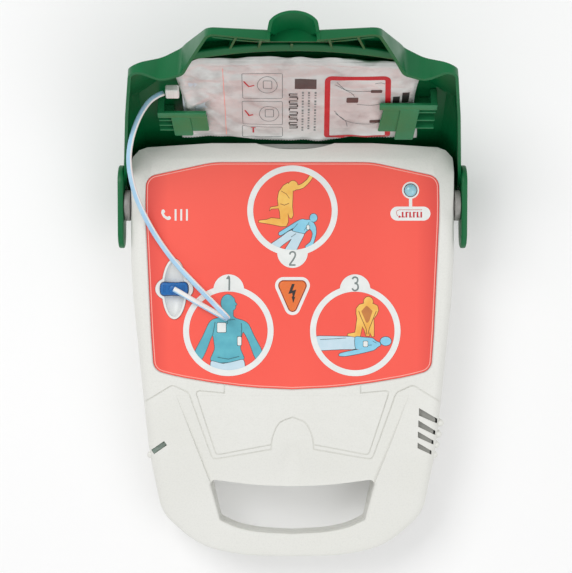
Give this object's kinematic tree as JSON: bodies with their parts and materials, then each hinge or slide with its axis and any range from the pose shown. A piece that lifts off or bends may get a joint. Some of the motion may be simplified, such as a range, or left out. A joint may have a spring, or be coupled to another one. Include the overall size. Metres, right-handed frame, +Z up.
{
  "type": "automated external defibrillator",
  "caption": "Portable defibrillator lying flat with its hinged lid open, a pad pouch in the lid, a plugged-in lead, push buttons, carry handle and battery bay",
  "frame": {"origin": "middle of the bounding box of everything but the lead and its plug, at the surface it lies on", "axes": "+Z up out of the instruction panel, +Y from the carry handle towards the lid's hinge, +X to the right of someone reading the panel"},
  "size_m": [0.2592, 0.3832, 0.2086],
  "materials": {
    "housing": "satin light grey",
    "panel": "satin printed film",
    "lid": "satin gloss",
    "boss": "satin",
    "steel": "plain",
    "brass": "plain",
    "rubber": "matt",
    "board": "satin",
    "black": "satin",
    "capacitor": "sleeved",
    "transformer": "lacquered",
    "ribbon": "satin",
    "plug": "satin gloss",
    "lead": "satin",
    "foil": "crinkled film",
    "pad": "gel and foam",
    "white": "satin gloss",
    "clear": "clear",
    "shock": "satin gloss",
    "repeat": "satin gloss",
    "battery": "satin"
  },
  "bodies": {
    "base": {"upper_housing": "housing", "lower_housing": "housing", "housing_gasket": "rubber", "panel_overlay": "panel", "electrode_socket": "white", "rubber_foot_1": "rubber", "rubber_foot_2": "rubber", "rubber_foot_3": "rubber", "rubber_foot_4": "rubber", "hinge_boss_left": "boss", "hinge_boss_right": "boss", "status_light_pipe": "clear", "front_circuit_board": "board", "main_circuit_board": "board", "shock_switch": "black", "repeat_switch": "black", "energy_capacitor": "capacitor", "charging_transformer": "transformer", "discharge_relay": "white", "speaker": "black", "lid_sensor": "black", "ribbon_cable": "ribbon", "battery_contacts": "brass", "socket_contacts": "black", "housing_screw_1": "steel", "housing_screw_2": "steel", "housing_screw_3": "steel", "housing_screw_4": "steel", "housing_screw_5": "steel", "housing_screw_6": "steel", "main_board_screw_1": "steel", "main_board_screw_2": "steel", "main_board_screw_3": "steel", "main_board_screw_4": "steel", "front_board_screw_1": "steel", "front_board_screw_2": "steel", "front_board_screw_3": "steel", "front_board_screw_4": "steel", "hinge_pin_left": "steel", "hinge_pin_right": "steel", "electrode_plug": "plug", "electrode_cable": "lead"},
    "lid": {"lid_shell": "lid", "lid_clip_left": "lid", "lid_clip_right": "lid", "lid_magnet": "steel", "electrode_pouch": "foil", "electrode_pad_sternum": "pad", "electrode_pad_apex": "pad", "pouch_neck": "white"},
    "shock_button": {"shock_button": "shock"},
    "repeat_button": {"repeat_button": "repeat"},
    "battery": {"battery_pack": "battery"}
  },
  "joints": [
    {"name": "lid_hinge", "type": "hinge", "parent": "base", "child": "lid", "pos_m": [0, 0.0722, 0.051], "axis": [1, 0, 0], "range_deg": [0, 120], "deforming": ["electrode_cable"]},
    {"name": "shock_button_press", "type": "slide", "parent": "base", "child": "shock_button", "axis": [0, 0, -1], "range_m": [0, 0.0015], "stiffness_N_per_m": 900},
    {"name": "repeat_button_press", "type": "slide", "parent": "base", "child": "repeat_button", "axis": [0, 0, -1], "range_m": [0, 0.0012], "stiffness_N_per_m": 700},
    {"name": "battery_slide", "type": "slide", "parent": "base", "child": "battery", "axis": [0, 0, -1], "range_m": [0, 0.04]}
  ]
}
